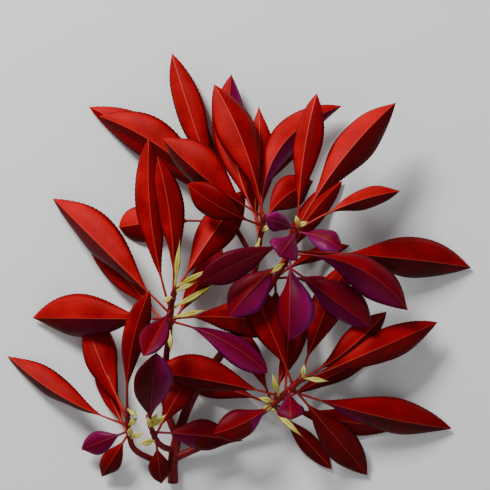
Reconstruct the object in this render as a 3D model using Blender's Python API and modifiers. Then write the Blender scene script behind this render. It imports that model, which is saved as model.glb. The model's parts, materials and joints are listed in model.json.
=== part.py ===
"""A cut spray of a red-leaved flowering shrub, lying on its back on a level surface.

The spray is drawn as it is seen from above: +X to the right, +Y towards the shoot tips and +Z up
from the surface. Every limb is a tapering stem along a smooth axis. Every whorl of leaves is one
solid: its own short stem with leaves and bud scales rooted in it. Sizes are written in millimetres
and turned into metres where a mesh is made.
"""

import math

import bpy
import bmesh
from mathutils import Vector
from mathutils.bvhtree import BVHTree

MM = 0.001
PART_NAME = "photinia_spray"

GAP = 0.3  # between solids that carry each other
LEAF_THICK = 1.1
PETIOLE_HALF_WIDTH = 1.1
LEAF_ROWS = 10
OUTLINE_RISE = 1.55  # how late a blade widens; above 1 its base and its tip are drawn out
SCALE_ROWS = 4
SCALE_THICK = 0.9
STEM_RINGS = (0, 0.04, 0.1, 0.16, 0.23, 0.33, 0.47, 0.64, 0.82, 0.96, 1)  # places of a limb's rings
STEM_FACETS = 0.94  # mean radius of a limb's eight-sided section over its full radius

# Limbs. Each axis runs from its foot to its tip, as (x, y, z). "enters" is the share of the axis
# where the bare limb ends and the whorl's own stem begins.
LIMBS = {
    "right": {
        "axis": [(-46.6, -151.9, 4.3), (-46.6, -134.4, 6), (-40.3, -108.5, 9), (-27, -80.5, 12),
                 (-1.8, -45.5, 17), (19.3, -15.4, 26), (34, 8.4, 42), (41.7, 30.8, 58)],
        "radius": (3.8, 1.9),
        "enters": 0.74,
        "wood": "main_stem",
        "whorl": "right_whorl",
    },
    "left": {
        "axis": [(-43.4, -122, 8), (-52.9, -91, 11), (-50.8, -59.5, 20), (-48.7, -45.5, 29),
                 (-47.3, -28, 40), (-43.8, -11.2, 50)],
        "radius": (2.6, 1.9),
        "enters": 0.66,
        "parent": "right",
        "wood": "left_bough",
        "whorl": "left_whorl",
    },
    "upper": {
        "axis": [(0.5, -42, 18), (7, -16, 24), (13, 5.6, 33), (14.4, 18.9, 41), (16.5, 29.4, 47),
                 (17.9, 39.2, 52)],
        "radius": (2.4, 1.8),
        "enters": 0.74,
        "parent": "right",
        "wood": "upper_bough",
        "whorl": "upper_whorl",
    },
    "back": {
        "axis": [(12.4, 3, 32), (3.2, 20.3, 24), (-3.9, 32.2, 21), (-11.6, 44.8, 19)],
        "radius": (1.9, 1.6),
        "enters": 0.6,
        "parent": "upper",
        "wood": "back_bough",
        "whorl": "back_whorl",
    },
    "lower_right": {
        "axis": [(-45.5, -134, 6.5), (-23.5, -123.9, 9), (1.1, -110.6, 14), (19.3, -98.7, 21),
                 (32.6, -86.8, 30), (45.2, -74.9, 40)],
        "radius": (2.8, 1.9),
        "enters": 0.66,
        "parent": "right",
        "wood": "lower_right_bough",
        "whorl": "lower_right_whorl",
    },
    "lower_left": {
        "axis": [(-46.6, -141, 5.5), (-62, -134.4, 9), (-74.6, -126, 14), (-78, -108.5, 23),
                 (-78, -96.6, 30)],
        "radius": (2.4, 1.7),
        "enters": 0.55,
        "parent": "right",
        "wood": "lower_left_bough",
        "whorl": "lower_left_whorl",
    },
    "front": {
        "axis": [(-45.4, -128, 7), (-52.2, -126, 15), (-57.8, -120.4, 23), (-61.3, -110.6, 31),
                 (-63.4, -100.8, 38)],
        "radius": (2.3, 1.7),
        "enters": 0.42,
        "parent": "right",
        "wood": "front_bough",
        "whorl": "front_whorl",
    },
}


def leaf(along, bearing, reach, tip, width, **more):
    """One leaf: its root's share of the limb's leafy end, the compass angle and plan length of its
    run (0 is +X, 90 is +Y), its tip's height and its full width. "left" and "right" are the slopes
    of its two halves in degrees, seen from root to tip: below 0 the half falls away."""
    shape = {"arch": 5.0, "bow": 0.0, "left": -18.0, "right": -18.0, "widest": 0.6, "petiole": 0.16,
             "lift": 0.0}
    shape.update(along=along, bearing=bearing, reach=reach, tip=tip, width=width)
    shape.update(more)
    return shape


LEAVES = {
    "left": [
        leaf(0.45, 136, 117, 8, 36, arch=8, left=-62, right=-10),
        leaf(0.50, 97, 122, 46, 22, arch=3, bow=5.5, left=-24, right=-20),
        leaf(0.75, 96, 99, 56, 22, arch=4, bow=-4.5, left=-42, right=-12),
        leaf(0.85, 56, 88, 27, 28, arch=2, bow=1, left=-28, right=-14),
        leaf(0.35, 180, 99, 4, 35, arch=10, left=-40, right=-6),
        leaf(0.55, -119, 36, 80, 20, arch=6, left=28, right=4, petiole=0.1),
        leaf(0.30, -28, 77, 36, 22, arch=3, bow=6, left=-40, right=12, widest=0.65),
        leaf(0.35, -4, 84, 31, 26, arch=2, bow=4, left=-10, right=-12),
    ],
    "upper": [
        leaf(0.80, 110, 101, 34, 30, arch=6, bow=-5, left=-10, right=-36),
        leaf(0.90, 142, 89, 44, 37, arch=8, bow=4, left=-64, right=-4),
        leaf(0.60, 151, 60, 50, 24, arch=8, bow=3, left=-32, right=24, lift=5),
        leaf(0.50, 101, 112, 12, 26, arch=2, bow=9, left=-10, right=-24),
        leaf(0.40, 91, 90, 18, 22, arch=2, left=-10, right=-10, widest=0.5),
        leaf(0.60, 41, 47, 38, 24, arch=3, bow=5, left=-10, right=-24),
        leaf(0.50, 57, 104, 12, 26, arch=4, bow=20, left=-24, right=-40),
    ],
    "back": [
        leaf(0.50, 141.5, 128, 3, 27, arch=7, bow=-8, left=-24, right=-16),
        leaf(0.70, 142.5, 114, 8, 33, arch=9, bow=-9, left=-50, right=-10),
        leaf(0.90, 108.5, 117, 5, 22, arch=4, bow=1, left=-30, right=-8),
        leaf(0.30, -178, 81, 4, 28, arch=4, bow=-3, left=-24, right=-24, widest=0.72, petiole=0.35),
    ],
    "right": [
        leaf(0.95, 82, 95, 55, 23, arch=4, bow=3, left=-45, right=-6),
        leaf(0.97, 52, 111, 40, 32, arch=8, bow=5, left=-40, right=-30),
        leaf(0.93, 21, 77, 44, 18, arch=6, bow=4, left=-35, right=-35, petiole=0.3),
        leaf(0.80, -155, 74, 58, 23, arch=7, bow=-1, left=-28, right=20),
        leaf(0.92, -126, 22, 82, 24, arch=8, left=-16, right=-20, petiole=0.1),
        leaf(0.90, -22, 33, 76, 17, arch=8, bow=3, left=-30, right=20, petiole=0.1),
        leaf(0.95, 162, 24, 80, 14, arch=6, left=-14, right=-14, petiole=0.1),
        leaf(0.60, -5, 130, 3, 36, arch=7, bow=2, left=-25, right=-45, petiole=0.28),
        leaf(0.55, -25, 92, 38, 30, arch=9, bow=12, left=-42, right=-6),
        leaf(0.40, -36, 76, 38, 30, arch=5, bow=0, left=-6, right=-48),
        leaf(0.60, -91, 62, 58, 35, arch=10, bow=0, left=4, right=-59),
        leaf(0.50, -135, 58, 46, 27, arch=5, bow=-2, left=0, right=-24),
    ],
    "lower_right": [
        leaf(0.80, 23, 109, 18, 24, arch=7, bow=0, left=-20, right=-20),
        leaf(0.95, 38, 76, 26, 22, arch=2, bow=-4, left=-20, right=-35),
        leaf(0.90, 67, 90, 12, 25, arch=2, bow=2, left=-18, right=-18),
        leaf(0.72, 113, 78, 40, 25, arch=2, bow=-1, left=-14, right=-14),
        leaf(0.50, 87, 70, 18, 25, arch=2, left=-16, right=-16),
        leaf(0.40, 169, 93, 34, 33, arch=7, bow=-2, left=-56, right=-10),
        leaf(0.60, -14, 120, 3, 32, arch=8, bow=-3, left=-20, right=-50),
        leaf(0.70, -50, 84, 3, 25, arch=4, left=-16, right=-16),
        leaf(0.60, -86, 19, 58, 20, arch=6, left=-16, right=-16, petiole=0.1),
        leaf(0.30, -153, 51, 36, 23, arch=5, bow=3, left=-24, right=-14),
    ],
    "lower_left": [
        leaf(0.50, 151, 99, 2, 26, arch=9, bow=5, left=-64, right=-20),
        leaf(0.60, 113.5, 76, 8, 22, arch=2, bow=1, left=-16, right=-16),
        leaf(0.80, 106, 70, 7, 20, arch=0, bow=6, left=-14, right=-14),
        leaf(0.90, 79, 87, 54, 18, arch=3, bow=5, left=-20, right=-14),
        leaf(0.35, -158, 37, 10, 17, arch=4, left=-14, right=-14),
        leaf(0.30, -122, 38, 6, 15, arch=6, left=-14, right=-14),
    ],
    "front": [
        leaf(0.60, 84, 54, 78, 28, arch=8, bow=1, left=28, right=-14, petiole=0.1),
        leaf(0.40, -6, 64, 20, 24, arch=4, bow=1, left=-20, right=-28, widest=0.48),
        leaf(0.20, 60, 54, 18, 18, arch=2, bow=1, left=-8, right=-8),
        leaf(0.10, -84, 32, 12, 16, arch=4, left=-14, right=-14),
    ],
}

# Bud scales: short pale blades on the leafy ends.
SCALES = {
    "left": [
        leaf(0.99, 84, 33, 57, 4),
        leaf(0.80, -153, 9, 45, 4),
        leaf(0.89, 25, 18, 54, 3.5),
        leaf(0.99, 27, 28, 58, 4),
        leaf(0.54, 30, 34, 50, 4.5),
        leaf(0.37, 13, 27, 46, 4),
        leaf(0.15, -86, 16, 38, 4),
    ],
    "upper": [leaf(0.41, 32, 8, 53, 4), leaf(0.25, -107, 20, 42, 4)],
    "right": [leaf(0.43, -143, 13, 50, 4.5), leaf(0.99, 105, 8, 64, 4), leaf(0.99, 28, 7, 64, 4)],
    "lower_right": [
        leaf(0.34, 106, 20, 38, 4.5),
        leaf(0.22, 162, 13, 33, 4.5),
        leaf(0.22, -148, 13, 30, 4.5),
        leaf(0.08, -42, 32, 28, 5),
        leaf(0.99, 86, 10, 46, 4),
        leaf(0.99, -7, 18, 45, 4),
    ],
    "lower_left": [
        leaf(0.96, -30, 9, 36, 4),
        leaf(0.49, 42, 10, 32, 4),
        leaf(0.20, 79, 8, 30, 4),
        leaf(0.15, 25, 12, 29, 4),
    ],
    "front": [
        leaf(0.10, -172, 12, 34, 5),
        leaf(0.55, 104, 9, 43, 4.5),
        leaf(0.60, 63, 12, 44, 4.5),
        leaf(0.55, 43, 15, 42, 4.5),
    ],
}

# Leaves on the side that faces the surface. Each follows a leaf above it, which is named by its
# place in the list, and is turned from its run by some degrees.
UNDER_LEAVES = {
    "left": ((0, -4), (1, 2), (3, 0), (4, -5)),
    "upper": ((0, -1), (1, -5), (6, 3)),
    "back": ((1, -3), (2, 0)),
    "right": ((1, 3), (2, 2), (7, 2), (8, -4), (10, 4)),
    "lower_right": ((0, 2), (2, 0), (3, 2), (5, -3), (6, 3), (7, 2)),
    "lower_left": ((0, -4), (1, 2)),
}
UNDER_LEAF_ALONG = 0.15
UNDER_LEAF_REACH = 0.76
UNDER_LEAF_WIDTH = 0.58
UNDER_LEAF_TIP = 2.5
UNDER_LEAF_ARCH = -4
UNDER_LEAF_CLEARANCE = 0.4
ROOT_ROWS = 3  # rows of a leaf that may meet its own whorl

FINISHES = {
    "bark": ((0.16, 0.03, 0.025), 0.55),
    "leaf": ((0.55, 0.005, 0.012), 0.32),
}


def smooth_point(points, share):
    """The point at a share of the length of a smooth curve through the points."""
    ends = [2 * points[0] - points[1], *points, 2 * points[-1] - points[-2]]
    dense = []
    for a, b, c, d in zip(ends, ends[1:], ends[2:], ends[3:]):
        for k in range(12):
            t = k / 12
            dense.append(0.5 * (2 * b + (c - a) * t + (2 * a - 5 * b + 4 * c - d) * t * t
                                + (3 * b - a - 3 * c + d) * t ** 3))
    dense.append(points[-1])
    steps = [(q - p).length for p, q in zip(dense, dense[1:])]
    left = share * sum(steps)
    for p, q, step in zip(dense, dense[1:], steps):
        if left <= step:
            return p.lerp(q, left / step)
        left -= step
    return dense[-1]


def limb_point(limb, share):
    return smooth_point([Vector(p) for p in limb["axis"]], share)


def limb_radius(limb, share):
    foot, tip = limb["radius"]
    return foot + (tip - foot) * share


def limb_length(limb):
    points = [limb_point(limb, k / 40) for k in range(41)]
    return sum((q - p).length for p, q in zip(points, points[1:]))


def clear_of_parent(limb):
    """The share of a limb's axis where its end face is just clear of the limb it grows from."""
    parent = LIMBS[limb["parent"]]
    shares = [k / 300 for k in range(301)]
    line = [(limb_point(parent, s), limb_radius(parent, s) * STEM_FACETS) for s in shares]
    for k in range(200):
        share = k / 400
        middle = limb_point(limb, share)
        ahead = (limb_point(limb, share + 0.01) - middle).normalized()
        across = ahead.orthogonal().normalized()
        radius = limb_radius(limb, share) * STEM_FACETS
        rim = [middle + radius * (across * math.cos(a) + ahead.cross(across) * math.sin(a))
               for a in (j * math.tau / 16 for j in range(16))]
        if all((p - q).length - r >= GAP for p in [middle, *rim] for q, r in line):
            return share
    return 0.5


def add_stem(name, limb, start, end):
    """A tapering stem along a share of a limb's axis, as a closed mesh."""
    curve = bpy.data.curves.new(name, "CURVE")
    curve.dimensions = "3D"
    curve.bevel_depth = MM
    curve.bevel_resolution = 2
    curve.use_fill_caps = True
    spline = curve.splines.new("POLY")
    spline.points.add(len(STEM_RINGS) - 1)
    for place, point in zip(STEM_RINGS, spline.points):
        share = start + (end - start) * place
        point.co = (*(limb_point(limb, share) * MM), 1)
        point.radius = limb_radius(limb, share)
    drawn = bpy.data.objects.new(name + "_curve", curve)
    bpy.context.scene.collection.objects.link(drawn)
    ready = drawn.evaluated_get(bpy.context.evaluated_depsgraph_get())
    mesh = bpy.data.meshes.new_from_object(ready)
    mesh.name = name
    work = bmesh.new()
    work.from_mesh(mesh)
    bmesh.ops.remove_doubles(work, verts=work.verts, dist=0.00002)
    bmesh.ops.recalc_face_normals(work, faces=work.faces)
    work.to_mesh(mesh)
    work.free()
    made = bpy.data.objects.new(name, mesh)
    made.matrix_world = drawn.matrix_world
    bpy.data.objects.remove(drawn)
    return made


def outline(share, shape):
    """Half the width of a leaf at a share of its length: a narrow stalk, then a long blade."""
    stalk = PETIOLE_HALF_WIDTH
    if share <= shape["petiole"]:
        return stalk
    s = (share - shape["petiole"]) / (1 - shape["petiole"])
    widest = shape["widest"]
    rise = OUTLINE_RISE
    fall = rise * (1 - widest) / widest
    full = widest ** rise * (1 - widest) ** fall
    blade = shape["width"] / 2 * s ** rise * (1 - s) ** fall / full
    return max(blade, stalk * (1 - s), 0.35)


def leaf_rows(limb, shape, count):
    """For each row along a leaf: its middle, its two edges and the direction out of its face."""
    enters = limb["enters"]
    root = limb_point(limb, enters + (1 - enters) * shape["along"]) + Vector((0, 0, shape["lift"]))
    bearing = math.radians(shape["bearing"])
    run = Vector((math.cos(bearing), math.sin(bearing), 0)) * shape["reach"]
    tip = Vector((root.x + run.x, root.y + run.y, shape["tip"]))
    aside = Vector((-math.sin(bearing), math.cos(bearing), 0)) * shape["bow"]
    up = Vector((0, 0, shape["arch"]))

    def middle(t):
        return root.lerp(tip, t) + (aside + up) * (4 * t * (1 - t))

    rows = []
    slopes = math.radians(shape["left"]), math.radians(shape["right"])
    for k in range(count + 1):
        t = k / count
        ahead = (middle(min(t + 0.01, 1)) - middle(max(t - 0.01, 0))).normalized()
        left = Vector((0, 0, 1)).cross(ahead).normalized()
        face = ahead.cross(left)
        opened = min(t / shape["petiole"], 1)
        one, two = slopes[0] * opened, slopes[1] * opened
        half = outline(t, shape)
        left_edge = middle(t) + (left * math.cos(one) + face * math.sin(one)) * half
        right_edge = middle(t) + (face * math.sin(two) - left * math.cos(two)) * half
        out = (face * (math.cos(one) + math.cos(two)) + left * (math.sin(two) - math.sin(one)))
        rows.append((middle(t), left_edge, right_edge, out.normalized()))
    return rows


def add_blade(name, rows, thick):
    """A blade through the rows: a shaped grid, thickened to a closed shell."""
    work = bmesh.new()
    bmesh.ops.create_grid(work, x_segments=2, y_segments=len(rows) - 1, size=1)
    order = sorted(work.verts, key=lambda v: (round(v.co.y, 4), v.co.x))
    for k, (middle, one, two, _) in enumerate(rows):
        for vert, place in zip(order[3 * k:3 * k + 3], (one, middle, two)):
            vert.co = place * MM
    mesh = bpy.data.meshes.new(name)
    work.to_mesh(mesh)
    work.free()
    made = bpy.data.objects.new(name, mesh)
    shell = made.modifiers.new("thickness", "SOLIDIFY")
    shell.thickness = thick * MM
    shell.offset = 0
    return made


def rows_tree(rows, clearance=0.0):
    """A search tree over a blade's two faces, each pushed out by the clearance."""
    points, faces = [], []
    for push in (clearance, -clearance):
        first = len(points)
        for middle, one, two, out in rows:
            points += [one + out * push, middle + out * push, two + out * push]
        for k in range(len(rows) - 1):
            a = first + 3 * k
            faces += [(a, a + 1, a + 4, a + 3), (a + 1, a + 2, a + 5, a + 4)]
    return BVHTree.FromPolygons(points, faces)


def stem_tree(limb):
    """A search tree over a limb as a six-sided tube."""
    points, faces = [], []
    count = 24
    for k in range(count + 1):
        share = k / count
        middle = limb_point(limb, share)
        ahead = limb_point(limb, min(share + 0.01, 1)) - limb_point(limb, max(share - 0.01, 0))
        across = ahead.orthogonal().normalized()
        over = ahead.normalized().cross(across)
        radius = limb_radius(limb, share) + UNDER_LEAF_CLEARANCE
        points += [middle + radius * (across * math.cos(a) + over * math.sin(a))
                   for a in (j * math.tau / 6 for j in range(6))]
    for k in range(count):
        for j in range(6):
            a, b = 6 * k + j, 6 * k + (j + 1) % 6
            faces.append((a, b, b + 6, a + 6))
    return BVHTree.FromPolygons(points, faces)


def under_leaves():
    """Leaves below each whorl. One that would touch the surface, a limb, another whorl or a leaf of
    its own whorl past its root is skipped."""
    placed = {key: [leaf_rows(LIMBS[key], s, LEAF_ROWS) for s in LEAVES[key]] for key in LEAVES}
    limbs = {key: stem_tree(LIMBS[key]) for key in LIMBS}
    found = {key: [] for key in LIMBS}
    for key, followed in UNDER_LEAVES.items():
        for place, turn in followed:
            above = LEAVES[key][place]
            shape = leaf(UNDER_LEAF_ALONG, above["bearing"] + turn, above["reach"] * UNDER_LEAF_REACH,
                         UNDER_LEAF_TIP, above["width"] * UNDER_LEAF_WIDTH, arch=UNDER_LEAF_ARCH,
                         bow=above["bow"])
            rows = leaf_rows(LIMBS[key], shape, LEAF_ROWS)
            if is_clear(key, rows, placed, limbs):
                found[key].append(shape)
                placed[key].append(rows)
    return found


def is_clear(key, rows, placed, limbs):
    """Whether a leaf of the whorl stays off the surface, off other whorls and off their limbs."""
    if min(p.z for row in rows for p in row[:3]) < LEAF_THICK:
        return False
    whole = rows_tree(rows, UNDER_LEAF_CLEARANCE)
    blade = rows_tree(rows[ROOT_ROWS:], UNDER_LEAF_CLEARANCE)
    for other in placed:
        mine = blade if other == key else whole
        if mine.overlap(limbs[other]):
            return False
        for beside in placed[other]:
            theirs = beside[ROOT_ROWS:] if other == key else beside
            if mine.overlap(rows_tree(theirs, UNDER_LEAF_CLEARANCE)):
                return False
    return True


def tidy_solid(mesh):
    """Keeps the one outer body of a joined solid: scraps and sealed hollows go."""
    work = bmesh.new()
    work.from_mesh(mesh)
    left = set(work.verts)
    islands = []
    while left:
        grown, edge = set(), [left.pop()]
        while edge:
            vert = edge.pop()
            grown.add(vert)
            for link in vert.link_edges:
                other = link.other_vert(vert)
                if other in left:
                    left.remove(other)
                    edge.append(other)
        islands.append(grown)
    islands.sort(key=len)
    scraps = [v for island in islands[:-1] for v in island]
    bmesh.ops.delete(work, geom=scraps, context="VERTS")
    bmesh.ops.triangulate(work, faces=work.faces)
    work.to_mesh(mesh)
    work.free()


def finish(made, finish_name):
    colour, roughness = FINISHES[finish_name]
    material = bpy.data.materials.new(made.name)
    material.use_nodes = True
    shader = material.node_tree.nodes["Principled BSDF"]
    shader.inputs["Base Color"].default_value = (*colour, 1)
    shader.inputs["Roughness"].default_value = roughness
    shader.inputs["Metallic"].default_value = 0
    made.data.materials.clear()
    made.data.materials.append(material)


def build_whorl(name, limb, shapes, scales, part, cutters):
    """One whorl: its stem with every leaf and bud scale fused on."""
    gap = GAP / 2 / limb_length(limb)
    body = add_stem(name, limb, limb["enters"] + gap, 1.0)
    part.objects.link(body)
    joined = bpy.data.collections.new(name + "_leaves")
    cutters.children.link(joined)
    for k, shape in enumerate(shapes):
        joined.objects.link(add_blade(f"{name}_leaf_{k}", leaf_rows(limb, shape, LEAF_ROWS), LEAF_THICK))
    for k, shape in enumerate(scales):
        rows = leaf_rows(limb, shape, SCALE_ROWS)
        joined.objects.link(add_blade(f"{name}_scale_{k}", rows, SCALE_THICK))
    union = body.modifiers.new("union", "BOOLEAN")
    union.operation = "UNION"
    union.operand_type = "COLLECTION"
    union.collection = joined
    union.solver = "MANIFOLD"
    ready = body.evaluated_get(bpy.context.evaluated_depsgraph_get())
    mesh = bpy.data.meshes.new_from_object(ready)
    mesh.name = name
    body.modifiers.clear()
    body.data = mesh
    for made in list(joined.objects):
        bpy.data.objects.remove(made)
    bpy.data.collections.remove(joined)
    tidy_solid(mesh)
    finish(body, "leaf")


def main():
    for made in list(bpy.data.objects):
        bpy.data.objects.remove(made)
    scene = bpy.context.scene
    part = bpy.data.collections.new(PART_NAME)
    cutters = bpy.data.collections.new("joined_pieces")
    scene.collection.children.link(part)
    scene.collection.children.link(cutters)
    under = under_leaves()
    for key, limb in LIMBS.items():
        start = clear_of_parent(limb) if "parent" in limb else 0.0
        gap = GAP / 2 / limb_length(limb)
        wood = add_stem(limb["wood"], limb, start, limb["enters"] - gap)
        part.objects.link(wood)
        finish(wood, "bark")
        build_whorl(limb["whorl"], limb, LEAVES[key] + under[key], SCALES.get(key, []), part, cutters)


main()
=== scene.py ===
import json
import math

import bmesh
import bpy
import numpy as np
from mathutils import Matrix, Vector

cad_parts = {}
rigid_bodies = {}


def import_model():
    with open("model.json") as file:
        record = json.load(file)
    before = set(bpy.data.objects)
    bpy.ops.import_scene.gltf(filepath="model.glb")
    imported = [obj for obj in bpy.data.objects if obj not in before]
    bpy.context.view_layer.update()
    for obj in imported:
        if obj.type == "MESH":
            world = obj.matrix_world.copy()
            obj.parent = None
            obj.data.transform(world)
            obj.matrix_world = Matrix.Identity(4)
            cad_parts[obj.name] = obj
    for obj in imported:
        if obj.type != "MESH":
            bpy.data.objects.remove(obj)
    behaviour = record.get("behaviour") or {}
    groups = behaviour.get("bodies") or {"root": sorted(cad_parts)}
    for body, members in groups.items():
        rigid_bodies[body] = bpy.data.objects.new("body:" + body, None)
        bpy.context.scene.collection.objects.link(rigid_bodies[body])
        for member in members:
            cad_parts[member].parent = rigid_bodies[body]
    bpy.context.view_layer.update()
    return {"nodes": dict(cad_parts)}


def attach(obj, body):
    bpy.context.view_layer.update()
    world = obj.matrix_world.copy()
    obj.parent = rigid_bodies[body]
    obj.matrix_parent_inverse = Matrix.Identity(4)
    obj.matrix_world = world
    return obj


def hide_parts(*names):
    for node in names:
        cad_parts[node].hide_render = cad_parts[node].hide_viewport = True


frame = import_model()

mm = 0.001
tiny = 1e-6  # keeps divisions away from zero
nearby = 0.01  # share of a path to each side when its direction is taken
print("frame loaded:", len(frame["nodes"]), "solids")

# Each axis runs from foot to tip in millimetres. "enters" is where the leafy end begins.
limbs = {
    "right": {
        "axis": [(-46.6, -151.9, 4.3), (-46.6, -134.4, 6), (-40.3, -108.5, 9), (-27, -80.5, 12),
                 (-1.8, -45.5, 17), (19.3, -15.4, 26), (34, 8.4, 42), (41.7, 30.8, 58)],
        "radius": (3.8, 1.9),
        "enters": 0.74,
        "whorl": "right_whorl",
    },
    "left": {
        "axis": [(-43.4, -122, 8), (-52.9, -91, 11), (-50.8, -59.5, 20), (-48.7, -45.5, 29),
                 (-47.3, -28, 40), (-43.8, -11.2, 50)],
        "radius": (2.6, 1.9),
        "enters": 0.66,
        "whorl": "left_whorl",
    },
    "upper": {
        "axis": [(0.5, -42, 18), (7, -16, 24), (13, 5.6, 33), (14.4, 18.9, 41), (16.5, 29.4, 47),
                 (17.9, 39.2, 52)],
        "radius": (2.4, 1.8),
        "enters": 0.74,
        "whorl": "upper_whorl",
    },
    "back": {
        "axis": [(12.4, 3, 32), (3.2, 20.3, 24), (-3.9, 32.2, 21), (-11.6, 44.8, 19)],
        "radius": (1.9, 1.6),
        "enters": 0.6,
        "whorl": "back_whorl",
    },
    "lower_right": {
        "axis": [(-45.5, -134, 6.5), (-23.5, -123.9, 9), (1.1, -110.6, 14), (19.3, -98.7, 21),
                 (32.6, -86.8, 30), (45.2, -74.9, 40)],
        "radius": (2.8, 1.9),
        "enters": 0.66,
        "whorl": "lower_right_whorl",
    },
    "lower_left": {
        "axis": [(-46.6, -141, 5.5), (-62, -134.4, 9), (-74.6, -126, 14), (-78, -108.5, 23),
                 (-78, -96.6, 30)],
        "radius": (2.4, 1.7),
        "enters": 0.55,
        "whorl": "lower_left_whorl",
    },
    "front": {
        "axis": [(-45.4, -128, 7), (-52.2, -126, 15), (-57.8, -120.4, 23), (-61.3, -110.6, 31),
                 (-63.4, -100.8, 38)],
        "radius": (2.3, 1.7),
        "enters": 0.42,
        "whorl": "front_whorl",
    },
}


def leafShape(along, bearing, reach, tip, width, **more):
    # root's share of the leafy end, compass angle, plan length, tip height, full width;
    # left and right are the slopes of the two halves seen from root to tip
    shape = {"arch": 5.0, "bow": 0.0, "left": -18.0, "right": -18.0, "widest": 0.6, "petiole": 0.16,
             "lift": 0.0}
    shape.update(along=along, bearing=bearing, reach=reach, tip=tip, width=width)
    shape.update(more)
    return shape


leaves = {
    "left": [
        leafShape(0.45, 136, 117, 8, 36, arch=8, left=-62, right=-10),
        leafShape(0.50, 97, 122, 46, 22, arch=3, bow=5.5, left=-24, right=-20),
        leafShape(0.75, 96, 99, 56, 22, arch=4, bow=-4.5, left=-42, right=-12),
        leafShape(0.85, 56, 88, 27, 28, arch=2, bow=1, left=-28, right=-14),
        leafShape(0.35, 180, 99, 4, 35, arch=10, left=-40, right=-6),
        leafShape(0.55, -119, 36, 80, 20, arch=6, left=28, right=4, petiole=0.1),
        leafShape(0.30, -28, 77, 36, 22, arch=3, bow=6, left=-40, right=12, widest=0.65),
        leafShape(0.35, -4, 84, 31, 26, arch=2, bow=4, left=-10, right=-12),
    ],
    "upper": [
        leafShape(0.80, 110, 101, 34, 30, arch=6, bow=-5, left=-10, right=-36),
        leafShape(0.90, 142, 89, 44, 37, arch=8, bow=4, left=-64, right=-4),
        leafShape(0.60, 151, 60, 50, 24, arch=8, bow=3, left=-32, right=24, lift=5),
        leafShape(0.50, 101, 112, 12, 26, arch=2, bow=9, left=-10, right=-24),
        leafShape(0.40, 91, 90, 18, 22, arch=2, left=-10, right=-10, widest=0.5),
        leafShape(0.60, 41, 47, 38, 24, arch=3, bow=5, left=-10, right=-24),
        leafShape(0.50, 57, 104, 12, 26, arch=4, bow=20, left=-24, right=-40),
    ],
    "back": [
        leafShape(0.50, 141.5, 128, 3, 27, arch=7, bow=-8, left=-24, right=-16),
        leafShape(0.70, 142.5, 114, 8, 33, arch=9, bow=-9, left=-50, right=-10),
        leafShape(0.90, 108.5, 117, 5, 22, arch=4, bow=1, left=-30, right=-8),
        leafShape(0.30, -178, 81, 4, 28, arch=4, bow=-3, left=-24, right=-24, widest=0.72, petiole=0.35),
    ],
    "right": [
        leafShape(0.95, 82, 95, 55, 23, arch=4, bow=3, left=-45, right=-6),
        leafShape(0.97, 52, 111, 40, 32, arch=8, bow=5, left=-40, right=-30),
        leafShape(0.93, 21, 77, 44, 18, arch=6, bow=4, left=-35, right=-35, petiole=0.3),
        leafShape(0.80, -155, 74, 58, 23, arch=7, bow=-1, left=-28, right=20),
        leafShape(0.92, -126, 22, 82, 24, arch=8, left=-16, right=-20, petiole=0.1),
        leafShape(0.90, -22, 33, 76, 17, arch=8, bow=3, left=-30, right=20, petiole=0.1),
        leafShape(0.95, 162, 24, 80, 14, arch=6, left=-14, right=-14, petiole=0.1),
        leafShape(0.60, -5, 130, 3, 36, arch=7, bow=2, left=-25, right=-45, petiole=0.28),
        leafShape(0.55, -25, 92, 38, 30, arch=9, bow=12, left=-42, right=-6),
        leafShape(0.40, -36, 76, 38, 30, arch=5, bow=0, left=-6, right=-48),
        leafShape(0.60, -91, 62, 58, 35, arch=10, bow=0, left=4, right=-59),
        leafShape(0.50, -135, 58, 46, 27, arch=5, bow=-2, left=0, right=-24),
    ],
    "lower_right": [
        leafShape(0.80, 23, 109, 18, 24, arch=7, bow=0, left=-20, right=-20),
        leafShape(0.95, 38, 76, 26, 22, arch=2, bow=-4, left=-20, right=-35),
        leafShape(0.90, 67, 90, 12, 25, arch=2, bow=2, left=-18, right=-18),
        leafShape(0.72, 113, 78, 40, 25, arch=2, bow=-1, left=-14, right=-14),
        leafShape(0.50, 87, 70, 18, 25, arch=2, left=-16, right=-16),
        leafShape(0.40, 169, 93, 34, 33, arch=7, bow=-2, left=-56, right=-10),
        leafShape(0.60, -14, 120, 3, 32, arch=8, bow=-3, left=-20, right=-50),
        leafShape(0.70, -50, 84, 3, 25, arch=4, left=-16, right=-16),
        leafShape(0.60, -86, 19, 58, 20, arch=6, left=-16, right=-16, petiole=0.1),
        leafShape(0.30, -153, 51, 36, 23, arch=5, bow=3, left=-24, right=-14),
    ],
    "lower_left": [
        leafShape(0.50, 151, 99, 2, 26, arch=9, bow=5, left=-64, right=-20),
        leafShape(0.60, 113.5, 76, 8, 22, arch=2, bow=1, left=-16, right=-16),
        leafShape(0.80, 106, 70, 7, 20, arch=0, bow=6, left=-14, right=-14),
        leafShape(0.90, 79, 87, 54, 18, arch=3, bow=5, left=-20, right=-14),
        leafShape(0.35, -158, 37, 10, 17, arch=4, left=-14, right=-14),
        leafShape(0.30, -122, 38, 6, 15, arch=6, left=-14, right=-14),
    ],
    "front": [
        leafShape(0.60, 84, 54, 78, 28, arch=8, bow=1, left=28, right=-14, petiole=0.1),
        leafShape(0.40, -6, 64, 20, 24, arch=4, bow=1, left=-20, right=-28, widest=0.48),
        leafShape(0.20, 60, 54, 18, 18, arch=2, bow=1, left=-8, right=-8),
        leafShape(0.10, -84, 32, 12, 16, arch=4, left=-14, right=-14),
    ],
}

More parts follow.
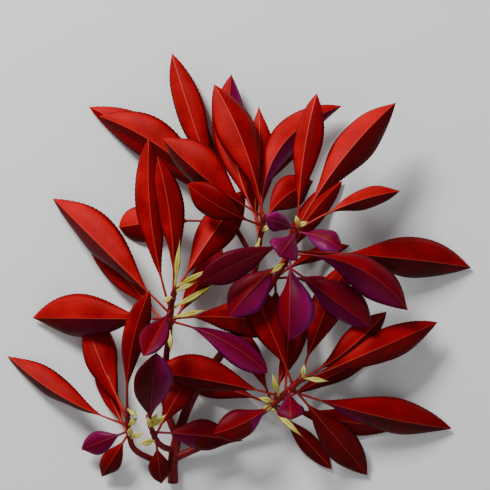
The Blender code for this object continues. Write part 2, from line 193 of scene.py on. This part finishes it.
# Bud scales: short pale straps on the leafy ends.
budScales = {
    "left": [
        leafShape(0.99, 84, 33, 57, 4),
        leafShape(0.80, -153, 9, 45, 4),
        leafShape(0.89, 25, 18, 54, 3.5),
        leafShape(0.99, 27, 28, 58, 4),
        leafShape(0.54, 30, 34, 50, 4.5),
        leafShape(0.37, 13, 27, 46, 4),
        leafShape(0.15, -86, 16, 38, 4),
    ],
    "upper": [leafShape(0.41, 32, 8, 53, 4), leafShape(0.25, -107, 20, 42, 4)],
    "right": [
        leafShape(0.43, -143, 13, 50, 4.5),
        leafShape(0.99, 105, 8, 64, 4),
        leafShape(0.99, 28, 7, 64, 4),
    ],
    "lower_right": [
        leafShape(0.34, 106, 20, 38, 4.5),
        leafShape(0.22, 162, 13, 33, 4.5),
        leafShape(0.22, -148, 13, 30, 4.5),
        leafShape(0.08, -42, 32, 28, 5),
        leafShape(0.99, 86, 10, 46, 4),
        leafShape(0.99, -7, 18, 45, 4),
    ],
    "lower_left": [
        leafShape(0.96, -30, 9, 36, 4),
        leafShape(0.49, 42, 10, 32, 4),
        leafShape(0.20, 79, 8, 30, 4),
        leafShape(0.15, 25, 12, 29, 4),
    ],
    "front": [
        leafShape(0.10, -172, 12, 34, 5),
        leafShape(0.55, 104, 9, 43, 4.5),
        leafShape(0.60, 63, 12, 44, 4.5),
        leafShape(0.55, 43, 15, 42, 4.5),
    ],
}

# Leaves on the underside follow a leaf above them, turned by some degrees.
underLeaves = {
    "left": ((0, -4), (3, 0)),
    "upper": ((0, -1), (6, 3)),
    "back": ((1, -3), (2, 0)),
    "right": ((1, 3), (2, 2), (8, -4), (10, 4)),
    "lower_right": ((0, 2), (2, 0), (3, 2), (5, -3), (6, 3), (7, 2)),
    "lower_left": ((1, 2),),
}

# Halves of a leaf that show plum, partly the leaf's own magenta tint and partly a painted sheen: (left
# half, right half), each (from, to, strength) along the leaf.
plumHalves = {
    ("left", 4): ((0.35, 0.75, 0.55), None),
    ("left", 5): ((0.1, 1.0, 0.65), (0.1, 1.0, 0.42)),
    ("left", 6): ((0.2, 1.0, 0.7), (0.15, 1.0, 0.8)),
    ("upper", 3): (None, (0.5, 1.0, 0.85)),
    ("upper", 6): (None, (0.1, 1.0, 0.9)),
    ("right", 3): ((0.1, 1.0, 0.5), (0.1, 1.0, 0.42)),
    ("right", 4): ((0.1, 1.0, 0.8), (0.1, 1.0, 0.85)),
    ("right", 5): ((0.1, 0.9, 0.7), (0.1, 1.0, 0.95)),
    ("right", 6): ((0.1, 1.0, 0.8), (0.1, 1.0, 0.9)),
    ("right", 8): ((0.1, 1.0, 0.36), (0.15, 0.95, 0.75)),
    ("right", 9): ((0.1, 1.0, 0.42), (0.15, 1.0, 0.9)),
    ("right", 10): ((0.1, 1.0, 0.85), (0.1, 1.0, 0.45)),
    ("right", 11): ((0.3, 1.0, 0.85), (0.1, 1.0, 0.45)),
    ("lower_right", 6): (None, (0.05, 0.5, 0.75)),
    ("lower_right", 8): ((0.1, 1.0, 0.6), (0.1, 1.0, 0.7)),
    ("lower_right", 9): ((0.1, 0.5, 0.95), (0.1, 1.0, 0.35)),
    ("lower_left", 4): ((0.1, 1.0, 0.7), (0.1, 1.0, 0.8)),
    ("front", 0): (None, (0.1, 1.0, 0.85)),
    ("front", 1): ((0.1, 1.0, 0.3), (0.05, 0.5, 0.75)),
}

# How bright each whorl's reds are, from the lit upper left to the shaded lower right.
whorlLight = {"left": 1.0, "upper": 0.97, "back": 1.0, "right": 0.92, "lower_right": 0.84,
              "lower_left": 0.9, "front": 0.62}

leafLook = {
    "rows": 108,
    "columns": (0.0, 0.25, 0.5, 0.76, 1.0),  # shares of a half past the midrib strip
    "tipHalf": 0.12,  # least half width, mm
    "ribHalf": 0.32,  # mm at the root
    "ribTaper": 0.6,
    "ribShare": 0.45,  # most of a half that the midrib strip takes
    "ribRise": 0.22,
    "ribFade": 1.2,
    "ridgeThick": 1.6,  # midrib to blade at the root
    "thick": 0.42,
    "edgeThin": 0.75,
    "stalkThick": 1.7,
    "stalkHalf": 0.9,
    "toothDepth": 0.38,
    "toothRows": 3,
    "toothed": (0.06, 0.97),  # from and to along the blade
    "camber": 0.10,
    "wave": 0.5,
    "waveTurns": 19,
    "waveStart": 6,
    # painted light: halves that face the sun direction get a lighter red, halves facing away a darker red
    # as painted shade
    "sun": (-0.42, 0.72, 0.55),  # where the brightest halves face
    "sunPower": 1.2,
    "shadedTone": 0.07,
    "litTone": 0.42,
    "plumAtRib": 0.45,  # strength by the midrib, 1 at the edge
    "plumFade": 0.08,
    "underShare": 0.15,
    "underReach": 0.76,
    "underWidth": 0.58,
    "outlineRise": 1.55,
    "underTip": 2.5,
    "underArch": -4,
}

scaleLook = dict(leafLook, rows=22, columns=(0.0, 0.5, 1.0), ribHalf=0.35, ribRise=-0.1, thick=0.5,
                 stalkThick=0.9, stalkHalf=1.0, toothDepth=0.0, wave=0.0, camber=0.35)
strapShape = {"petiole": 0.1, "widest": 0.45, "arch": 3, "left": 10, "right": 10}


def smoothPath(points, count):
    # even steps along a smooth curve through the points
    fine = 12
    pts = [Vector(p) for p in points]
    ends = [2 * pts[0] - pts[1], *pts, 2 * pts[-1] - pts[-2]]
    dense = []
    for a, b, c, d in zip(ends, ends[1:], ends[2:], ends[3:]):
        for k in range(fine):
            t = k / fine
            dense.append(0.5 * (2 * b + (c - a) * t + (2 * a - 5 * b + 4 * c - d) * t * t
                                + (3 * b - a - 3 * c + d) * t ** 3))
    dense.append(pts[-1])
    dense = np.array([tuple(p) for p in dense])
    run = np.concatenate([[0], np.cumsum(np.linalg.norm(np.diff(dense, axis=0), axis=1))])
    want = np.linspace(0, run[-1], count)
    return np.stack([np.interp(want, run, dense[:, k]) for k in range(3)], axis=1)


pathSteps = 401
paths = {key: smoothPath(limb["axis"], pathSteps) for key, limb in limbs.items()}


def limbPoint(key, share):
    place = np.clip(share, 0, 1) * (pathSteps - 1)
    low = np.minimum(np.floor(place).astype(int), pathSteps - 2)
    part = (place - low)[..., None]
    return paths[key][low] * (1 - part) + paths[key][low + 1] * part


def unit(v):
    return v / np.maximum(np.linalg.norm(v, axis=-1, keepdims=True), tiny)


def halfWidth(share, shape, look):
    # a narrow stalk, then a long blade that is widest past its middle
    s = np.clip((share - shape["petiole"]) / (1 - shape["petiole"]), tiny, 1)
    widest, rise, stalk = shape["widest"], look["outlineRise"], look["stalkHalf"]
    fall = rise * (1 - widest) / widest
    full = widest ** rise * (1 - widest) ** fall
    blade = shape["width"] / 2 * s ** rise * (1 - s) ** fall / full
    least = np.maximum(stalk * (1 - s), look["tipHalf"])
    return np.where(share <= shape["petiole"], stalk, np.maximum(blade, least))


def band(t, span, fade):
    # the span's strength inside it, fading at both ends
    low, high, strength = span
    return strength * np.clip((t - low) / fade + 0.5, 0, 1) * np.clip((high - t) / fade + 0.5, 0, 1)


def leafSkin(key, shape, look, halves=(None, None), phase=0):
    # a closed leaf: rows from root to tip, columns from left edge over the midrib to right edge
    enters = limbs[key]["enters"]
    root = limbPoint(key, np.array(enters + (1 - enters) * shape["along"])) + [0, 0, shape["lift"]]
    bearing = math.radians(shape["bearing"])
    run = np.array([math.cos(bearing), math.sin(bearing), 0]) * shape["reach"]
    tip = np.array([root[0] + run[0], root[1] + run[1], shape["tip"]])
    bulge = np.array([-math.sin(bearing) * shape["bow"], math.cos(bearing) * shape["bow"], shape["arch"]])
    t = np.linspace(0, 1, look["rows"] + 1)

    def middleAt(s):
        return root + (tip - root) * s[:, None] + bulge * (4 * s * (1 - s))[:, None]

    middle = middleAt(t)
    ahead = unit(middleAt(np.minimum(t + nearby, 1)) - middleAt(np.maximum(t - nearby, 0)))
    left = unit(np.cross([0, 0, 1], ahead))
    face = np.cross(ahead, left)
    opened = np.minimum(t / shape["petiole"], 1)
    slopeL = np.radians(shape["left"]) * opened
    slopeR = np.radians(shape["right"]) * opened
    dirL = left * np.cos(slopeL)[:, None] + face * np.sin(slopeL)[:, None]
    dirR = face * np.sin(slopeR)[:, None] - left * np.cos(slopeR)[:, None]
    outL = face * np.cos(slopeL)[:, None] - left * np.sin(slopeL)[:, None]
    outR = face * np.cos(slopeR)[:, None] + left * np.sin(slopeR)[:, None]
    outM = unit(outL + outR)
    half = halfWidth(t, shape, look)
    blade = np.clip((t - shape["petiole"]) / (1 - shape["petiole"]), 0, 1)
    rowCount = len(t)
    saw = (np.arange(rowCount) % look["toothRows"]) / (look["toothRows"] - 1)
    teeth = look["toothDepth"] * saw * (blade > look["toothed"][0]) * (blade < look["toothed"][1])
    ribHalf = np.minimum(look["ribHalf"] * (1 - look["ribTaper"] * t), half * look["ribShare"])
    stalkMore = (look["stalkThick"] - look["thick"]) * (1 - opened)
    sides = []
    sun = unit(np.array(look["sun"]))
    for sign, across, out, span in ((-1, dirL, outL, halves[0]), (1, dirR, outR, halves[1])):
        # painted light and shade: each half's red is lighter as it faces the sun direction and darker as
        # it turns away, dimmed per whorl
        lit = np.clip(out @ sun, 0, 1)
        brightest = look["litTone"] * whorlLight[key]
        paintedShadeTone = look["shadedTone"] + (brightest - look["shadedTone"]) * lit ** look["sunPower"]
        plum = band(t, span, look["plumFade"]) if span else np.zeros(rowCount)
        for share in look["columns"]:
            far = ribHalf + (half - ribHalf) * share + teeth * (share == 1.0)
            s = far / np.maximum(half, tiny)
            lift = look["camber"] * half * 4 * s * (1 - s) * opened
            ripple = look["wave"] * share ** 2 * np.sin(t * look["waveTurns"] + sign * 2 + phase)
            ripple = ripple * np.clip(blade * look["waveStart"], 0, 1)
            spot = middle + across * far[:, None] + out * (lift + ripple)[:, None]
            thick = look["thick"] * (1 - look["edgeThin"] * share) + stalkMore * (1 - share)
            # plum strength: the leaf's own magenta tint with a painted sheen, stronger towards the edge
            tintAndSheen = plum * (look["plumAtRib"] + (1 - look["plumAtRib"]) * s)
            sides.append((sign * s, spot, out, thick / 2, paintedShadeTone, tintAndSheen))
    rise = look["ribRise"] * np.clip(look["ribFade"] - t, 0, 1)
    stem = look["thick"] * (look["ridgeThick"] - t) + stalkMore
    count = len(look["columns"])
    ridge = (np.zeros(rowCount), middle + outM * rise[:, None], outM, stem / 2,
             (sides[0][4] + sides[count][4]) / 2, (sides[0][5] + sides[count][5]) / 2)
    ordered = sides[:count][::-1] + [ridge] + sides[count:]
    columns = len(ordered)
    top = np.stack([c[1] + c[2] * c[3][:, None] for c in ordered], axis=1)
    low = np.stack([c[1] - c[2] * c[3][:, None] for c in ordered], axis=1)
    rim = (top + low) / 2
    for grid in (top, low):
        grid[:, 0], grid[:, -1] = rim[:, 0], rim[:, -1]
        grid[0], grid[-1] = rim[0], rim[-1]
    index = np.arange(rowCount * columns).reshape(rowCount, columns)
    under = index + rowCount * columns
    under[:, 0], under[:, -1], under[0], under[-1] = index[:, 0], index[:, -1], index[0], index[-1]
    verts = np.concatenate([top.reshape(-1, 3), low.reshape(-1, 3)])
    across = np.stack([c[0] for c in ordered], axis=1)
    paintedShades = np.stack([c[4] for c in ordered], axis=1).reshape(-1)
    plums = np.stack([c[5] for c in ordered], axis=1).reshape(-1)
    upFaces = np.stack([index[:-1, 1:], index[1:, 1:], index[1:, :-1], index[:-1, :-1]], axis=-1)
    downFaces = np.stack([under[1:, :-1], under[1:, 1:], under[:-1, 1:], under[:-1, :-1]], axis=-1)
    columnOf = np.tile(np.arange(columns - 1), rowCount - 1)
    rib = np.isin(columnOf, (count - 1, count))
    along = np.broadcast_to(t[:, None], across.shape)
    uvs = np.stack([across * 0.5 + 0.5, along], axis=-1).reshape(-1, 2)
    return {
        "verts": verts,
        "faces": np.concatenate([upFaces, downFaces]).reshape(-1, 4),
        "rib": np.concatenate([rib, np.zeros(len(rib), bool)]),
        "uv": np.concatenate([uvs, uvs]),
        "paintedShadeTone": np.concatenate([paintedShades, paintedShades]),
        "plum": np.concatenate([plums, plums]),
    }


def joinSkins(name, skins, materials):
    # one mesh from many leaves, with its map and its painted shade tone and plum attributes
    verts = np.concatenate([s["verts"] for s in skins]) * mm
    offset, faces = 0, []
    for s in skins:
        faces.append(s["faces"] + offset)
        offset += len(s["verts"])
    faces = np.concatenate(faces)
    mesh = bpy.data.meshes.new(name)
    mesh.from_pydata(verts.tolist(), [], faces.tolist())
    uv = np.concatenate([s["uv"] for s in skins])
    layer = mesh.uv_layers.new(name="leafMap")
    order = np.empty(len(mesh.loops), dtype=np.int32)
    mesh.loops.foreach_get("vertex_index", order)
    layer.data.foreach_set("uv", uv[order].ravel())
    for mark in ("paintedShadeTone", "plum"):
        values = np.concatenate([s[mark] for s in skins]).astype(np.float32)
        mesh.attributes.new(mark, "FLOAT", "POINT").data.foreach_set("value", values)
    for material in materials:
        mesh.materials.append(material)
    rib = np.concatenate([s["rib"] for s in skins]).astype(np.int32)
    if len(materials) > 1:
        mesh.polygons.foreach_set("material_index", rib)
    mesh.polygons.foreach_set("use_smooth", np.ones(len(mesh.polygons), bool))
    mesh.update()
    made = bpy.data.objects.new(name, mesh)
    bpy.context.scene.collection.objects.link(made)
    return made


def newMaterial(name):
    material = bpy.data.materials.new(name)
    material.use_nodes = True
    tree = material.node_tree
    return material, tree.nodes, tree.links, tree.nodes["Principled BSDF"]


def ramp(nodes, links, source, stops):
    node = nodes.new("ShaderNodeValToRGB")
    while len(node.color_ramp.elements) < len(stops):
        node.color_ramp.elements.new(0.5)
    for element, (place, colour) in zip(node.color_ramp.elements, stops):
        element.position = place
        element.color = (*colour, 1)
    links.new(source, node.inputs["Fac"])
    return node.outputs["Color"]


def attribute(nodes, name):
    node = nodes.new("ShaderNodeAttribute")
    node.attribute_name = name
    return node.outputs["Fac"]


def noise(nodes, links, scale, detail=2):
    # noise by place on the object
    place = nodes.new("ShaderNodeTexCoord")
    node = nodes.new("ShaderNodeTexNoise")
    node.inputs["Scale"].default_value = scale
    node.inputs["Detail"].default_value = detail
    links.new(place.outputs["Object"], node.inputs["Vector"])
    return node.outputs["Fac"]


def mapRange(nodes, links, source, start, end):
    node = nodes.new("ShaderNodeMapRange")
    for name, value in zip(("From Min", "From Max", "To Min", "To Max"), (*start, *end)):
        node.inputs[name].default_value = value
    links.new(source, node.inputs["Value"])
    return node.outputs["Result"]


def combine(nodes, links, operation, *given):
    # a maths node whose inputs are numbers or links
    node = nodes.new("ShaderNodeMath")
    node.operation = operation
    for socket, value in zip(node.inputs, given):
        if isinstance(value, (int, float)):
            socket.default_value = value
        else:
            links.new(value, socket)
    return node.outputs[0]


def relief(nodes, links, shader, height, strength, distance):
    node = nodes.new("ShaderNodeBump")
    node.inputs["Strength"].default_value = strength
    node.inputs["Distance"].default_value = distance
    links.new(height, node.inputs["Height"])
    links.new(node.outputs["Normal"], shader.inputs["Normal"])


def redOrPlum(nodes, links, shader, paintedShadeTone, look):
    # reds by painted light and shade, and over them plums, partly tint and partly painted sheen, where
    # the leaf has them
    plum = attribute(nodes, "plum")
    node = nodes.new("ShaderNodeMix")
    node.data_type = "RGBA"
    factor, first, second = (node.inputs[k] for k in (0, 6, 7))
    links.new(mapRange(nodes, links, plum, (0, look["plumFull"]), (0, 1)), factor)
    links.new(ramp(nodes, links, paintedShadeTone, look["reds"]), first)
    links.new(ramp(nodes, links, plum, look["plums"]), second)
    links.new(node.outputs[2], shader.inputs["Base Color"])
    return plum


veinSettings = {"pairs": 26.0, "slant": 1.7, "bend": 3.0, "narrow": 5.0}


def makeVeinGroup():
    # fine side veins that leave the midrib and lean towards the tip
    group = bpy.data.node_groups.new("sideVeins", "ShaderNodeTree")
    for name, value in veinSettings.items():
        socket = group.interface.new_socket(name=name, in_out="INPUT", socket_type="NodeSocketFloat")
        socket.default_value = value
    group.interface.new_socket(name="vein", in_out="OUTPUT", socket_type="NodeSocketFloat")
    nodes, links = group.nodes, group.links
    given, put = nodes.new("NodeGroupInput"), nodes.new("NodeGroupOutput")
    uv = nodes.new("ShaderNodeUVMap")
    uv.uv_map = "leafMap"
    split = nodes.new("ShaderNodeSeparateXYZ")
    links.new(uv.outputs[0], split.inputs[0])

    def maths(operation, *values):
        return combine(nodes, links, operation, *values)

    side = maths("ABSOLUTE", maths("SUBTRACT", split.outputs[0], 0.5))
    lean = maths("MULTIPLY", maths("MULTIPLY", side, given.outputs["slant"]), 2.0)
    bend = maths("MULTIPLY", maths("MULTIPLY", side, side), given.outputs["bend"])
    run = maths("MULTIPLY", split.outputs[1], given.outputs["pairs"])
    phase = maths("SUBTRACT", run, maths("ADD", lean, bend))
    wave = maths("COSINE", maths("MULTIPLY", phase, math.tau))
    lifted = maths("ADD", maths("MULTIPLY", wave, 0.5), 0.5)
    links.new(maths("POWER", lifted, given.outputs["narrow"]), put.inputs["vein"])
    return group


veinGroup = makeVeinGroup()

leafPaint = {
    # reds from dark painted shade to bright painted light
    "reds": (
        (0.0, (0.030, 0.0002, 0.0012)),
        (0.22, (0.17, 0.0003, 0.002)),
        (0.42, (0.50, 0.0003, 0.003)),
    ),
    # plum tint rising to a painted lilac highlight at full strength
    "plums": (
        (0.0, (0.06, 0.0003, 0.003)),
        (0.4, (0.09, 0.0003, 0.010)),
        (0.7, (0.15, 0.0003, 0.045)),
        (0.88, (0.22, 0.003, 0.13)),
        (1.0, (0.42, 0.12, 0.42)),
    ),
    "plumFull": 0.45,
    "cloudScale": 55,
    "cloudDetail": 3,
    "cloudSpan": (0.3, 0.7),
    "cloudTone": (-0.05, 0.05),
    "veinTone": -0.014,
    "grainScale": 900,
    "veinDepth": -0.5,
    "bumpStrength": 0.2,
    "bumpDistance": 0.0003,
    "roughness": (0.55, 0.28),  # red, full plum
    "specular": 0.07,
}


def leafMaterial(look):
    material, nodes, links, shader = newMaterial("glossyRedLeaf")
    cloud = noise(nodes, links, look["cloudScale"], look["cloudDetail"])
    spread = mapRange(nodes, links, cloud, look["cloudSpan"], look["cloudTone"])
    veins = nodes.new("ShaderNodeGroup")
    veins.node_tree = veinGroup
    vein = veins.outputs["vein"]
    fade = combine(nodes, links, "MULTIPLY_ADD", vein, look["veinTone"], spread)
    paintedShadeTone = combine(nodes, links, "ADD", attribute(nodes, "paintedShadeTone"), fade)
    plum = redOrPlum(nodes, links, shader, paintedShadeTone, look)
    grain = noise(nodes, links, look["grainScale"])
    height = combine(nodes, links, "MULTIPLY_ADD", vein, look["veinDepth"], grain)
    relief(nodes, links, shader, height, look["bumpStrength"], look["bumpDistance"])
    links.new(mapRange(nodes, links, plum, (0, 1), look["roughness"]), shader.inputs["Roughness"])
    shader.inputs["Specular IOR Level"].default_value = look["specular"]
    return material


ribPaint = {
    # midrib reds from dark painted shade to bright painted light
    "reds": (
        (0.05, (0.14, 0.004, 0.004)),
        (0.25, (0.42, 0.02, 0.012)),
        (0.42, (0.80, 0.10, 0.045)),
    ),
    # plum tint rising to a painted lilac sheen at full strength
    "plums": (
        (0.3, (0.16, 0.003, 0.02)),
        (1.0, (0.36, 0.06, 0.22)),
    ),
    "plumFull": 0.3,
    "cloudScale": 400,
    "roughness": (0.4, 0.6),
    "specular": 0.2,
}


def ribMaterial(look):
    material, nodes, links, shader = newMaterial("paleMidrib")
    redOrPlum(nodes, links, shader, attribute(nodes, "paintedShadeTone"), look)
    cloud = noise(nodes, links, look["cloudScale"])
    links.new(mapRange(nodes, links, cloud, (0, 1), look["roughness"]), shader.inputs["Roughness"])
    shader.inputs["Specular IOR Level"].default_value = look["specular"]
    return material


plainPaint = {
    "budScale": {"stops": ((0.3, (0.36, 0.31, 0.02)), (0.65, (0.74, 0.64, 0.17))),
                 "scale": 90, "roughness": 0.5, "distance": 0.0002},
    "youngBark": {"stops": ((0.3, (0.09, 0.003, 0.005)), (0.7, (0.20, 0.007, 0.010))),
                  "scale": 140, "roughness": 0.5, "distance": 0.0003},
    "cutWood": {"stops": ((0.3, (0.55, 0.42, 0.24)), (0.7, (0.72, 0.60, 0.38))),
                "scale": 500, "roughness": 0.7, "distance": 0.0001},
    "lenticel": {"stops": ((0.3, (0.30, 0.14, 0.09)), (0.7, (0.42, 0.22, 0.14))),
                 "scale": 300, "roughness": 0.7, "distance": 0.0001},
}
plainDetail, plainStrength, plainSpecular = 5, 0.5, 0.15


def plainMaterial(name):
    # colour that drifts by place along one ramp, with a fine relief
    look = plainPaint[name]
    material, nodes, links, shader = newMaterial(name)
    cloud = noise(nodes, links, look["scale"], plainDetail)
    links.new(ramp(nodes, links, cloud, look["stops"]), shader.inputs["Base Color"])
    relief(nodes, links, shader, cloud, plainStrength, look["distance"])
    shader.inputs["Roughness"].default_value = look["roughness"]
    shader.inputs["Specular IOR Level"].default_value = plainSpecular
    return material


leafRed = leafMaterial(leafPaint)
ribPink = ribMaterial(ribPaint)
scaleCream = plainMaterial("budScale")
barkBrown = plainMaterial("youngBark")
cutWood = plainMaterial("cutWood")
lenticelPale = plainMaterial("lenticel")
print("materials ready")

for key, limb in limbs.items():
    skins = []
    for k, shape in enumerate(leaves[key]):
        halves = plumHalves.get((key, k), (None, None))
        skins.append(leafSkin(key, shape, leafLook, halves, k + len(key)))
    for followed, turn in underLeaves.get(key, ()):
        above = leaves[key][followed]
        shape = leafShape(leafLook["underShare"], above["bearing"] + turn,
                          above["reach"] * leafLook["underReach"], leafLook["underTip"],
                          above["width"] * leafLook["underWidth"], arch=leafLook["underArch"],
                          bow=above["bow"])
        skins.append(leafSkin(key, shape, leafLook, phase=followed))
    blades = joinSkins(limb["whorl"] + "_leaves", skins, (leafRed, ribPink))
    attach(blades, "root")
    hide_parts(limb["whorl"])
    straps = [leafSkin(key, dict(shape, **strapShape), scaleLook) for shape in budScales.get(key, [])]
    if straps:
        scales = joinSkins(limb["whorl"] + "_bud_scales", straps, (scaleCream,))
        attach(scales, "root")
print("whorls ready")

barkLook = {
    "rings": 150,
    "sides": 28,
    "turns": 220,
    "swell": ((0.03, 3, 0.21), (0.02, 7, -0.6)),  # strength, lobes, pitch
    "relief": 0.10,
    "grain": ((11, 0.35), (2, 1.3)),  # lobes, pitch
    "knot": 0.35,
    "knotReach": 0.012,
    "tipShrink": (0.9, 0.7, 0.35),
    "upright": (0.3, 0.2, 1.0),
    "cutDepth": 0.0006,
    "cutFacing": 0.8,
}


def barkTube(key):
    limb = limbs[key]
    rings, sides = barkLook["rings"], barkLook["sides"]
    share = np.linspace(0, 1, rings)
    middle = limbPoint(key, share)
    after, before = np.minimum(share + nearby, 1), np.maximum(share - nearby, 0)
    ahead = unit(limbPoint(key, after) - limbPoint(key, before))
    across = unit(np.cross(ahead, barkLook["upright"]))
    over = np.cross(ahead, across)
    foot, tip = limb["radius"]
    angle = np.linspace(0, math.tau, sides, endpoint=False)
    radius = (foot + (tip - foot) * share)[:, None] * np.ones(sides)
    long = share[:, None] * barkLook["turns"]
    swollen = 1
    for strength, lobes, pitch in barkLook["swell"]:
        swollen = swollen + strength * np.sin(lobes * angle + long * pitch)
    radius = radius * swollen
    rough = barkLook["relief"]
    for lobes, pitch in barkLook["grain"]:
        rough = rough * np.sin(lobes * angle + long * pitch)
    radius += rough
    for shape in leaves[key]:
        at = limb["enters"] + (1 - limb["enters"]) * shape["along"]
        radius += barkLook["knot"] * np.exp(-((share - at) / barkLook["knotReach"]) ** 2)[:, None]
    shrink = np.array(barkLook["tipShrink"])[:, None]
    radius[-len(shrink):] *= shrink
    ring = across[:, None] * np.cos(angle)[:, None] + over[:, None] * np.sin(angle)[:, None]
    verts = (middle[:, None] + ring * radius[..., None]).reshape(-1, 3) * mm
    ends = np.stack([middle[0], middle[-1]]) * mm
    index = np.arange(rings * sides).reshape(rings, sides)
    nextOne = np.roll(index, -1, axis=1)
    quads = np.stack([index[:-1], nextOne[:-1], nextOne[1:], index[1:]], axis=-1).reshape(-1, 4).tolist()
    first, last = rings * sides, rings * sides + 1
    caps = [(first, nextOne[0, k], index[0, k]) for k in range(sides)]
    caps += [(last, index[-1, k], nextOne[-1, k]) for k in range(sides)]
    mesh = bpy.data.meshes.new(key + "_bark")
    mesh.from_pydata(verts.tolist() + ends.tolist(), [], quads + caps)
    work = bmesh.new()
    work.from_mesh(mesh)
    bmesh.ops.recalc_face_normals(work, faces=work.faces)
    work.to_mesh(mesh)
    work.free()
    return bpy.data.objects.new(key + "_bark", mesh)


trunk = barkTube("right")
bpy.context.scene.collection.objects.link(trunk)
sideTubes = bpy.data.collections.new("sideTubes")
bpy.context.scene.collection.children.link(sideTubes)
for key in limbs:
    if key != "right":
        sideTubes.objects.link(barkTube(key))
union = trunk.modifiers.new("union", "BOOLEAN")
union.operation = "UNION"
union.operand_type = "COLLECTION"
union.collection = sideTubes
union.solver = "EXACT"
joined = bpy.data.meshes.new_from_object(trunk.evaluated_get(bpy.context.evaluated_depsgraph_get()))
trunk.modifiers.clear()
trunk.data = joined
for tube in list(sideTubes.objects):
    bpy.data.objects.remove(tube)
trunk.name = "bark"
joined.name = "bark"
joined.materials.clear()
joined.materials.append(barkBrown)
joined.materials.append(cutWood)
cutLevel = limbs["right"]["axis"][0][1] * mm
for face in joined.polygons:
    isCut = face.center.y < cutLevel + barkLook["cutDepth"] and abs(face.normal.y) > barkLook["cutFacing"]
    face.material_index = 1 if isCut else 0
    face.use_smooth = not isCut
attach(trunk, "root")
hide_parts("main_stem", "left_bough", "upper_bough", "back_bough", "lower_right_bough",
            "lower_left_bough", "front_bough")
print("bark ready:", len(joined.polygons), "faces")

# Pale specks, scattered over the bark by a node tree.
lenticelSettings = {"count": 9000.0, "size": 0.00042, "least": 0.6, "most": 1.2, "seed": 7}


def scatterTree():
    tree = bpy.data.node_groups.new("lenticelScatter", "GeometryNodeTree")
    tree.interface.new_socket(name="bark", in_out="INPUT", socket_type="NodeSocketGeometry")
    for name, value in lenticelSettings.items():
        kind = "NodeSocketInt" if isinstance(value, int) else "NodeSocketFloat"
        tree.interface.new_socket(name=name, in_out="INPUT", socket_type=kind)
    tree.interface.new_socket(name="specks", in_out="OUTPUT", socket_type="NodeSocketGeometry")
    nodes, links = tree.nodes, tree.links
    given, put = nodes.new("NodeGroupInput"), nodes.new("NodeGroupOutput")
    points = nodes.new("GeometryNodeDistributePointsOnFaces")
    links.new(given.outputs["bark"], points.inputs["Mesh"])
    links.new(given.outputs["count"], points.inputs["Density"])
    links.new(given.outputs["seed"], points.inputs["Seed"])
    speck = nodes.new("GeometryNodeMeshIcoSphere")
    speck.inputs["Subdivisions"].default_value = 1
    links.new(given.outputs["size"], speck.inputs["Radius"])
    flat = nodes.new("GeometryNodeTransform")
    flat.inputs["Scale"].default_value = (0.8, 1.5, 0.45)
    links.new(speck.outputs["Mesh"], flat.inputs["Geometry"])
    dotted = nodes.new("GeometryNodeInstanceOnPoints")
    links.new(points.outputs["Points"], dotted.inputs["Points"])
    links.new(points.outputs["Rotation"], dotted.inputs["Rotation"])
    links.new(flat.outputs["Geometry"], dotted.inputs["Instance"])
    sizes = nodes.new("FunctionNodeRandomValue")
    links.new(given.outputs["least"], sizes.inputs[2])
    links.new(given.outputs["most"], sizes.inputs[3])
    links.new(given.outputs["seed"], sizes.inputs["Seed"])
    links.new(sizes.outputs[1], dotted.inputs["Scale"])
    real = nodes.new("GeometryNodeRealizeInstances")
    links.new(dotted.outputs["Instances"], real.inputs["Geometry"])
    paint = nodes.new("GeometryNodeSetMaterial")
    paint.inputs["Material"].default_value = lenticelPale
    links.new(real.outputs["Geometry"], paint.inputs["Geometry"])
    links.new(paint.outputs["Geometry"], put.inputs["specks"])
    return tree


specks = bpy.data.objects.new("lenticels", joined.copy())
bpy.context.scene.collection.objects.link(specks)
modifier = specks.modifiers.new("scatter", "NODES")
modifier.node_group = scatterTree()
for item in modifier.node_group.interface.items_tree:
    if item.in_out == "INPUT" and item.name in lenticelSettings:
        modifier[item.identifier] = lenticelSettings[item.name]
plain = bpy.data.meshes.new_from_object(specks.evaluated_get(bpy.context.evaluated_depsgraph_get()))
specks.modifiers.clear()
specks.data = plain
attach(specks, "root")
print("lenticels ready:", len(plain.polygons), "faces")

studio = {
    "eye": (0.00455, 0.0175), "height": 1.8, "level": 0.035, "view": 0.343, "sensor": 36,
    "floorSize": 6.0, "floorColour": (0.80, 0.80, 0.79), "floorRoughness": 0.8,
    "key": ((-0.75, 1.25, 1.15), 0.5, 46.0), "fill": ((0.9, -0.8, 1.3), 1.4, 5.0),
    "sky": (0.95, 0.97, 1.0), "skyStrength": 0.3,
}
bpy.ops.mesh.primitive_plane_add(size=studio["floorSize"], location=(0, 0, 0))
floor = bpy.context.active_object
floor.name = "floor"
floorMaterial, _, _, shader = newMaterial("paleFloor")
shader.inputs["Base Color"].default_value = (*studio["floorColour"], 1)
shader.inputs["Roughness"].default_value = studio["floorRoughness"]
floor.data.materials.append(floorMaterial)


def areaLight(name, place, size, power):
    light = bpy.data.lights.new(name, "AREA")
    light.size = size
    light.energy = power
    lamp = bpy.data.objects.new(name, light)
    lamp.location = place
    lamp.rotation_euler = (-Vector(place)).to_track_quat("-Z", "Y").to_euler()
    bpy.context.scene.collection.objects.link(lamp)


areaLight("keyLight", *studio["key"])
areaLight("fillLight", *studio["fill"])
world = bpy.data.worlds.new("studioSky")
world.use_nodes = True
background = world.node_tree.nodes["Background"]
background.inputs["Color"].default_value = (*studio["sky"], 1)
background.inputs["Strength"].default_value = studio["skyStrength"]
bpy.context.scene.world = world

cameraData = bpy.data.cameras.new("camera")
camera = bpy.data.objects.new("camera", cameraData)
camera.location = (*studio["eye"], studio["height"] + studio["level"])
cameraData.sensor_width = studio["sensor"]
cameraData.lens = studio["sensor"] * studio["height"] / studio["view"]
bpy.context.scene.collection.objects.link(camera)
bpy.context.scene.camera = camera
print("studio ready")
